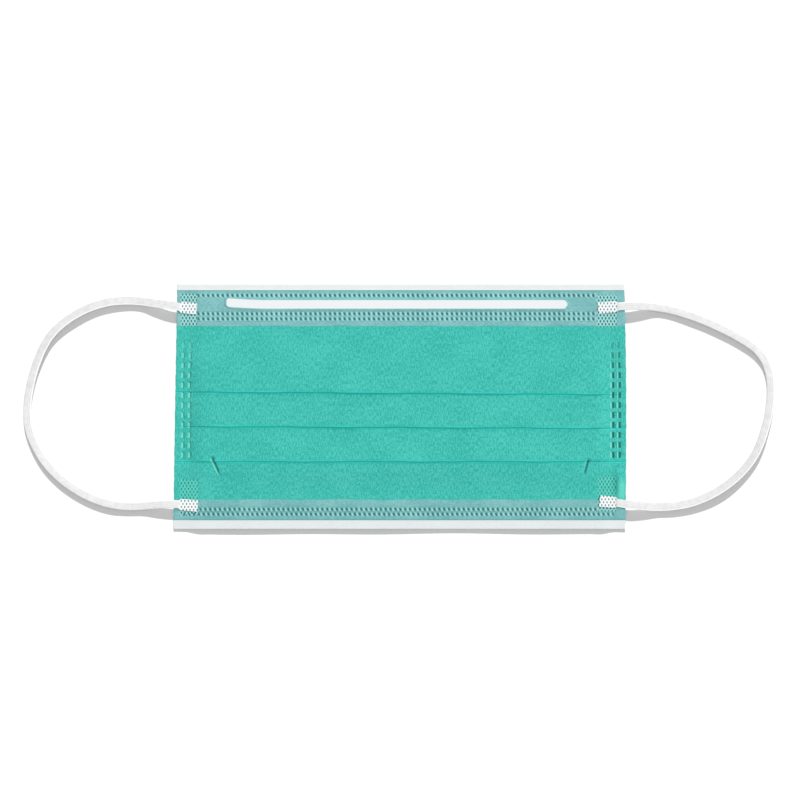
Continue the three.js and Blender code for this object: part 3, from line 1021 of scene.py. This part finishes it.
class NodeBench:
    """Puts the nodes of one material together."""

    def __init__(self, name: str) -> None:
        """Starts a material that holds one shader."""
        self.material = bpy.data.materials.new(name + "_finish")
        self.material.use_nodes = True
        self.tree = self.material.node_tree
        self.shader = self.tree.nodes["Principled BSDF"]
        self.place = run_node(self.tree, "ShaderNodeTexCoord", (), "Object")

    def mark(self, name: str) -> Flow:
        """Reads a value that the piece carries at its points."""
        return run_node(self.tree, "ShaderNodeAttribute", (), "Fac", attribute_name=name)

    def cut(self) -> Flow:
        """Reads the point's place on the flat cut, in metres."""
        return run_node(self.tree, "ShaderNodeUVMap", (), "UV", uv_map="cut")

    def mix(self, share: object, low: object, high: object) -> Flow:
        """Mixes two colours."""
        return run_node(self.tree, "ShaderNodeMix", (share, low, high), 2, MIX_INPUTS, data_type="RGBA")

    def paint(self, colour: object, *coats: tuple[Flow, object]) -> Flow:
        """Lays coats over a colour, each given by where it lies and its own colour."""
        for share, coat in coats:
            colour = self.mix(share, colour, coat)
        return colour

    def noise(self, vector: Flow, scale: float, detail: float = 2.0,
              stretch: tuple[float, float, float] = (1.0, 1.0, 1.0)) -> Flow:
        """Gives noise with so many cells in a metre, stretched if wanted."""
        spot = run_node(self.tree, "ShaderNodeMapping", (vector, stretch), 0, ("Vector", "Scale"))
        values, inputs = (spot, scale, detail), ("Vector", "Scale", "Detail")
        return run_node(self.tree, "ShaderNodeTexNoise", values, "Fac", inputs)

    def dots(self) -> Flow:
        """Draws the rows of slanted weld dots, 1 in a dot and 0 elsewhere."""
        row = HEM_ROWS[0]
        side = self.mark("dot_turns").off_whole() * (row.pitch / (row.breadth / 2))
        far = (side * side + self.mark("dot_up") * self.mark("dot_up")).step("SQRT")
        return far.band(1.02, 0.62) * self.mark("dot_on")

    def puffs(self) -> Flow:
        """Draws the swollen cloth between the weld dots."""
        side = self.mark("dot_turns").off_whole().band(0.24, 0.44)
        return side * abs(self.mark("dot_up")).band(1.25, 0.5) * self.mark("dot_on")

    def dashes(self, rim: float = 1.15, floor: float = 0.75) -> Flow:
        """Draws the columns of weld dashes, 1 from the floor of a dash and 0 beyond its rim."""
        return self.in_dash_rows(abs(self.mark("dash_side")).band(rim, floor))

    def glints(self) -> Flow:
        """Draws a painted highlight on the left flank of each dash, wider on the left half of the mask."""
        shift = self.by_side(0.0, 0.55)
        side = self.mark("dash_side") + shift
        return self.in_dash_rows(side.band(-1.5, -0.9) * (shift * 1.1 + side).band(0.7, 0.25))

    def in_dash_rows(self, side: Flow) -> Flow:
        """Keeps what is drawn across the columns to the heights that have a dash."""
        column = SIDE_COLUMNS[0]
        up = self.mark("dash_turns").off_whole() * (column.pitch / (column.height / 2))
        return side * up.band(1.1, 0.85) * self.mark("dash_on")

    def by_side(self, left: float, right: float) -> Flow:
        """Eases from one value on the left half of the mask to another one on the right half."""
        return self.place.axis(0).band(-MIDDLE, MIDDLE, left, right)

    def folds(self) -> Flow:
        """Draws the bands along the three front folds that get painted light against the shade in the fold
        gaps, standing in for light that comes through the cloth, fainter at the sides.
        """
        right, up = self.place.axis(0), self.place.axis(1)
        first, second, third = (
            abs(right * (pleat.slant / SLANT_REACH) + up - pleat.fold * MM).band(0.0007, 0.0003)
            for pleat in PLEATS
        )
        return (first | second | third) * abs(right).band(0.077, 0.07, 0.6, 1.0)

    def curl_highlight(self) -> Flow:
        """Draws the painted highlight beside the curled lower right corner, standing in for light that comes
        through it, 1 in the middle and 0 beyond.
        """
        aside = abs(self.place.axis(0) - CURL_HIGHLIGHT[0]).band(0.0019, 0.0006)
        return aside * abs(self.place.axis(1) - CURL_HIGHLIGHT[1]).band(0.0065, 0.0015)

    def creases(self) -> Flow:
        """Draws the pinched lines in the panel, 1 in a line and 0 elsewhere."""
        return abs(self.mark("crease_side")).band(1.1, 0.3) * self.mark("crease_on")

    def crease_glints(self) -> Flow:
        """Draws a painted highlight along the left edge of each crease, fainter on the right half of the
        mask.
        """
        side = self.mark("crease_side")
        return side.band(0.5, 1.0) * side.band(2.2, 1.5) * self.by_side(1.0, 0.35) * self.mark("crease_on")

    def knurl(self, start: float, stop: float) -> Flow:
        """Draws the weld patches' lattice.

        Args:
            start: Where the drawn part of the lattice begins, from 0 between dents to 1 in one.
            stop: Where it is full.

        Returns:
            1 in the drawn part and 0 elsewhere.
        """
        first, second = (
            (self.mark(name) * TURN).step("COSINE") * 0.5 + 0.5 for name in ("knurl_first", "knurl_second")
        )
        return (first * second).band(start, stop) * self.mark("knurl_on")

    def bump(self, height: Flow, depth: float, *base: Flow, invert: bool = False) -> Flow:
        """Gives a relief of so many millimetres, on top of another one if wanted."""
        values, inputs = (height, depth * MM, *base), ("Height", "Distance", "Normal")
        return run_node(self.tree, "ShaderNodeBump", values, 0, inputs, invert=invert)

    def dress(self, colour: Flow, relief: Flow, roughness: float, sheen: float) -> bpy.types.Material:
        """Sets the shader.

        Args:
            colour: The base colour.
            relief: The bumped normal.
            roughness: The shader's roughness.
            sheen: The strength of the cloth's sheen.

        Returns:
            The finished material.
        """
        settings = {"Base Color": colour, "Normal": relief, "Roughness": roughness, "Sheen Weight": sheen,
                    "Specular IOR Level": 0.25}
        for name, value in settings.items():
            feed(self.tree, self.shader.inputs[name], value)
        return self.material


class Finish:
    """A way to dress a piece."""

    def make(self, name: str) -> bpy.types.Material:
        """Makes the material for the piece of that name."""
        raise NotImplementedError


@dataclass(frozen=True)
class SpunbondFinish(Finish):
    """Spunbond nonwoven: cloudy fibres held by a lattice of tiny bond points."""

    dark: Colour
    light: Colour
    welded: Colour
    # colour of the painted highlights
    lit: Colour
    fold_painted_light: Colour
    relief: float = 0.07
    dent: float = 0.35
    bond_pitch: float = 0.00125

    def make(self, name: str) -> bpy.types.Material:
        """Makes the material from clouds, grain, fibres, bond points and pressed welds, with painted light
        along the folds, painted highlights by the curled corner and beside the dashes and creases, and
        painted shade in the creases.
        """
        bench = NodeBench(name)
        cut = bench.cut()
        grain = bench.noise(cut, 1250.0, 3.0)
        fibres = bench.noise(cut, 1900.0, 2.0, (1.6, 0.3, 1.0))
        bonds = self.bonds(cut)
        tone = (bench.noise(cut, 70.0) * 0.14 + (grain * 0.42 + fibres * 0.58) * 0.86).band(0.4, 0.6)
        creases = bench.creases()
        colour = bench.paint(
            bench.mix(tone, self.dark, self.light),
            (bonds * 0.16, self.dark),
            # painted light along the front folds, lifting the shade in the fold gaps
            (bench.folds() * 0.66, self.fold_painted_light),
            # painted highlight beside the curled lower right corner
            (bench.curl_highlight() * 0.6, self.lit),
            (bench.dashes() * bench.by_side(0.3, 1.0), self.welded),
            # painted highlight on the left flank of each dash
            (bench.glints() * 0.95, self.lit),
            # painted shade along each crease groove, in the weld colour
            (creases * 0.9, self.welded),
            # painted highlight along the left edge of each crease
            (bench.crease_glints() * 0.8, self.lit),
            (bench.knurl(0.3, 0.7) * 0.32, self.welded),
            # lighter cloth between the lattice dents, in the painted highlight colour
            (bench.knurl(0.3, 0.05) * 0.55, self.lit),
        )
        dents = bench.dashes(1.3, 0.1) | creases | bench.knurl(0.1, 0.7) * 0.6
        pressed = bench.bump(dents, self.dent, invert=True)
        relief = bench.bump(grain * 0.6 + fibres * 0.5 - bonds * 0.35, self.relief, pressed)
        return bench.dress(colour, relief, 0.82, 0.12)

    def bonds(self, cut: Flow) -> Flow:
        """Draws the staggered bond points, about a millimetre apart."""
        right, up = cut.axis(0), cut.axis(1)
        first, second = ((way * (TURN / self.bond_pitch)).step("COSINE") for way in (right + up, right - up))
        return (first + second).band(0.9, 1.7)


@dataclass(frozen=True)
class HemFinish(Finish):
    """Thin white lining over the green ply, which shows through it where they touch."""

    over_ply: Colour
    over_ply_light: Colour
    bare: Colour
    bare_shade: Colour
    puffed_and_highlight: Colour
    ply_edge: float
    wire: bool
    over_wire: Colour = linear(232, 236, 238)
    # also used for the painted shade along the ply's edge
    welded: Colour = linear(58, 124, 124)
    relief: float = 0.05
    dent: float = 0.2

    def make(self, name: str) -> bpy.types.Material:
        """Makes the material from what lies under the lining, the welds, the grain, painted shade along the
        ply's edge and a partly painted highlight between the dots.
        """
        bench = NodeBench(name)
        grain = bench.noise(bench.place, 1100.0, 3.0)
        fibres = bench.noise(bench.place, 1700.0, 2.0, (0.5, 1.5, 1.0))
        tone = bench.noise(bench.place, 90.0) * 0.3 + (grain * 0.5 + fibres * 0.5) * 0.7
        tone = tone.band(0.38, 0.62)
        up = bench.place.axis(1) * math.copysign(1.0, self.ply_edge)
        edge = abs(self.ply_edge) * MM
        beyond = up.band(edge - 0.00012, edge + 0.00012)
        back = run_node(bench.tree, "ShaderNodeNewGeometry", (), "Normal").axis(2).band(0.05, -0.05)
        # rim is a painted shade along the green ply's edge, just inside it
        rim = up.band(edge - 0.0009, edge - 0.0001) * up.band(edge + 0.0003, edge)
        coats = [
            # painted shade along the ply's edge
            (rim * 0.35, self.welded),
            # swollen cloth between the dots and in the lattice, lighter partly as a painted highlight on its
            # slopes
            ((bench.puffs() | bench.knurl(0.36, 0.08)) * 0.75, self.puffed_and_highlight),
            (bench.dots() | bench.knurl(0.25, 0.6), self.welded),
        ]
        if self.wire:
            coats.append((bench.mark("wire").band(-0.05, 0.25), self.over_wire))
        coats.append((beyond | back, bench.mix(tone * 0.5, self.bare, self.bare_shade)))
        colour = bench.paint(bench.mix(tone, self.over_ply, self.over_ply_light), *coats)
        pressed = bench.bump(bench.dots() | bench.knurl(0.1, 0.6), self.dent, invert=True)
        relief = bench.bump(grain * 0.6 + fibres * 0.5, self.relief, pressed)
        return bench.dress(colour, relief, 0.8, 0.1)


@dataclass(frozen=True)
class PlainFinish(Finish):
    """One colour with a faint mottling, drawn out along X if wanted."""

    colour: Colour
    shade: float
    cells: float
    stretch: float
    relief: float
    roughness: float

    def make(self, name: str) -> bpy.types.Material:
        """Makes the material from the colour and its shade."""
        bench = NodeBench(name)
        mottle = bench.noise(bench.place, self.cells, 2.0, (self.stretch, 1.0, 1.0))
        shade = tuple(self.shade * value for value in self.colour[:3]) + (1.0,)
        colour = bench.mix(mottle, shade, self.colour)
        return bench.dress(colour, bench.bump(mottle, self.relief), self.roughness, 0.0)


@dataclass(frozen=True)
class ElasticFinish(Finish):
    """Fine knitted elastic, with ribs along it and a tiny stitch across."""

    light: Colour
    shade: Colour
    crushed: Colour
    hole: Colour
    rim: Colour
    ribs: float = 14.0
    stitch: float = 0.00042
    relief: float = 0.06

    def make(self, name: str) -> bpy.types.Material:
        """Makes the material from ribs, stitches, a faint mottling, a painted highlight along one edge and
        the weld's holes.
        """
        bench = NodeBench(name)
        across, along = bench.cut().axis(0), bench.cut().axis(1)
        rib = (across * (TURN * self.ribs)).step("COSINE")
        stitches = (along * (TURN / self.stitch) + rib * 0.8).step("COSINE")
        height = rib * 0.16 + (stitches * 0.1 + bench.noise(bench.place, 600.0, 3.0))
        colour = bench.paint(
            bench.mix(height.band(0.15, 0.85), self.shade, self.light),
            # painted highlight along one edge of the strap
            (abs(across - 0.5).band(0.13, 0.09), self.rim),
            (bench.mark("knurl_on"), bench.mix(bench.knurl(0.3, 0.6), self.crushed, self.hole)),
        )
        return bench.dress(colour, bench.bump(height, self.relief), 0.85, 0.15)


GREEN = SpunbondFinish(
    dark=linear(40, 171, 159),
    light=linear(77, 199, 185),
    # weld colour, also used for the painted shade in the creases
    welded=linear(18, 128, 121),
    # painted highlight colour
    lit=linear(112, 222, 205),
    # painted light for the shade in the fold gaps
    fold_painted_light=linear(44, 230, 220),
)
WHITE_LINING = SpunbondFinish(
    dark=linear(222, 228, 229),
    light=linear(240, 243, 243),
    welded=linear(196, 206, 207),
    lit=linear(244, 246, 246),
    fold_painted_light=linear(240, 243, 243),
)
TOP_HEM = HemFinish(
    over_ply=linear(114, 176, 178),
    over_ply_light=linear(138, 197, 197),
    bare=linear(231, 235, 234),
    bare_shade=linear(217, 222, 222),
    puffed_and_highlight=linear(164, 228, 223),
    ply_edge=PLY_TOP,
    wire=True,
)
BOTTOM_HEM = HemFinish(
    over_ply=linear(105, 170, 171),
    over_ply_light=linear(129, 191, 190),
    bare=linear(226, 231, 232),
    bare_shade=linear(213, 220, 222),
    puffed_and_highlight=linear(160, 222, 218),
    ply_edge=PLY_BOTTOM,
    wire=False,
)
WIRE = PlainFinish(linear(240, 243, 245), shade=0.93, cells=700.0, stretch=0.08, relief=0.02, roughness=0.4)
ELASTIC = ElasticFinish(
    light=linear(238, 238, 238),
    shade=linear(219, 219, 219),
    crushed=linear(246, 249, 249),
    hole=linear(118, 150, 152),
    # painted highlight along one edge of the strap
    rim=linear(252, 252, 252),
)
FLOOR = PlainFinish(linear(250, 250, 250), shade=0.99, cells=40.0, stretch=1.0, relief=0.01, roughness=0.9)


@dataclass(frozen=True)
class Sun:
    """A light from far away: where it shines from, how wide it looks in radians, and its strength."""

    name: str
    source: tuple[float, float, float]
    breadth: float
    strength: float

    def shine(self, receivers: list[bpy.types.Object]) -> None:
        """Puts the light into the scene, for the given objects alone."""
        data = bpy.data.lights.new(self.name, "SUN")
        data.angle = self.breadth
        data.energy = self.strength
        sun = bpy.data.objects.new(self.name, data)
        sun.location = self.source
        sun.rotation_euler = Vector(self.source).to_track_quat("Z", "Y").to_euler()
        bpy.context.scene.collection.objects.link(sun)
        lit = bpy.data.collections.new(self.name + "_receivers")
        for receiver in receivers:
            lit.objects.link(receiver)
        sun.light_linking.receiver_collection = lit


@dataclass(frozen=True)
class Studio:
    """The camera, the lights and the pale surface. Metres."""

    view_middle: tuple[float, float] = (0.0001, 0.0026)
    view_side: float = 0.3104
    camera_height: float = 1.0
    sensor: float = 36.0
    key: Sun = Sun("key", (0.46, 0.32, 0.83), 0.7, 2.0)
    table: Sun = Sun("table", (0.0, 0.94, 0.34), 0.02, 5.2)
    sky: float = 0.55

    def camera(self) -> None:
        """Puts the camera straight above the mask, framed as the photograph."""
        data = bpy.data.cameras.new("camera")
        data.sensor_width = self.sensor
        data.lens = self.sensor * self.camera_height / self.view_side
        data.clip_end = 10.0
        camera = bpy.data.objects.new("camera", data)
        camera.location = (*self.view_middle, self.camera_height)
        bpy.context.scene.collection.objects.link(camera)
        bpy.context.scene.camera = camera

    def light(self, floor: bpy.types.Object, pieces: list[bpy.types.Object]) -> None:
        """Puts a soft key light on the mask, a low light on the surface and an even sky round both."""
        self.key.shine(pieces)
        self.table.shine([floor])
        world = bpy.data.worlds.new("sky")
        world.use_nodes = True
        background = world.node_tree.nodes["Background"]
        background.inputs["Color"].default_value = (1.0, 1.0, 1.0, 1.0)
        background.inputs["Strength"].default_value = self.sky
        bpy.context.scene.world = world
        bpy.context.scene.view_settings.view_transform = "Standard"

    def floor(self) -> bpy.types.Object:
        """Lays the surface under the mask and gives it back."""
        ground = bmesh.new()
        bmesh.ops.create_grid(ground, x_segments=2, y_segments=2, size=2.0)
        mesh = bpy.data.meshes.new("floor")
        ground.to_mesh(mesh)
        ground.free()
        floor = bpy.data.objects.new("floor", mesh)
        mesh.materials.append(FLOOR.make("floor"))
        bpy.context.scene.collection.objects.link(floor)
        return floor


def resting_shape() -> RestingShape:
    """Reads the mask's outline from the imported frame, as the shape that all pieces share."""
    low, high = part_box("pleated_panel")
    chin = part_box("bottom_hem")[0].y / MM
    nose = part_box("top_hem")[1].y / MM
    return RestingShape(half_width=(high.x - low.x) / 2 / MM, nose_edge=nose, chin_edge=chin)


def mask_pieces(shape: RestingShape) -> list[Piece]:
    """Lists the mask's pieces, not built yet.

    Args:
        shape: How the mask lies.

    Returns:
        The loops, the panel's layers, the hems and the wire.
    """
    wire, elastic, panel = WirePlace(), ("elastic", shape, ELASTIC), "pleated_panel"
    top, bottom = "top_hem_nonwoven", "bottom_hem_nonwoven"
    return [
        EarLoop("left_elastic", "ear_loop_left", *elastic, LEFT_ROUTE, LEFT_ROLLS),
        EarLoop("right_elastic", "ear_loop_right", *elastic, RIGHT_ROUTE, RIGHT_ROLLS),
        PleatedLayer("outer_ply", panel, "green_nonwoven", shape, GREEN, 0.26, Layer.OUTER_PLY,
                     top=PLY_TOP, bottom=PLY_BOTTOM),
        PleatedLayer("lining", panel, top, shape, WHITE_LINING, 0.2, Layer.LINING,
                     top=46.4, bottom=-46.4, fineness=1.7),
        Hem("top_hem_fold", "top_hem", top, shape, TOP_HEM, 0.12, edge=shape.nose_edge - 0.1, end=31.2,
            ply_edge=PLY_TOP, wire=wire),
        Hem("bottom_hem_fold", "bottom_hem", bottom, shape, BOTTOM_HEM, 0.12, edge=shape.chin_edge + 0.1,
            end=-36.0, ply_edge=PLY_BOTTOM),
        NoseWire("nose_wire_strip", "nose_wire", "wire_plastic", shape, WIRE, wire),
    ]


def main() -> None:
    """Builds the studio and the mask, piece by piece."""
    logging.basicConfig(level=logging.INFO, format="%(name)s: %(message)s")
    studio = Studio()
    studio.camera()
    floor = studio.floor()
    built = [piece.build() for piece in mask_pieces(resting_shape())]
    studio.light(floor, built)
    LOG.info("built %s", ", ".join(piece.name for piece in built))


if __name__ == "__main__":
    main()
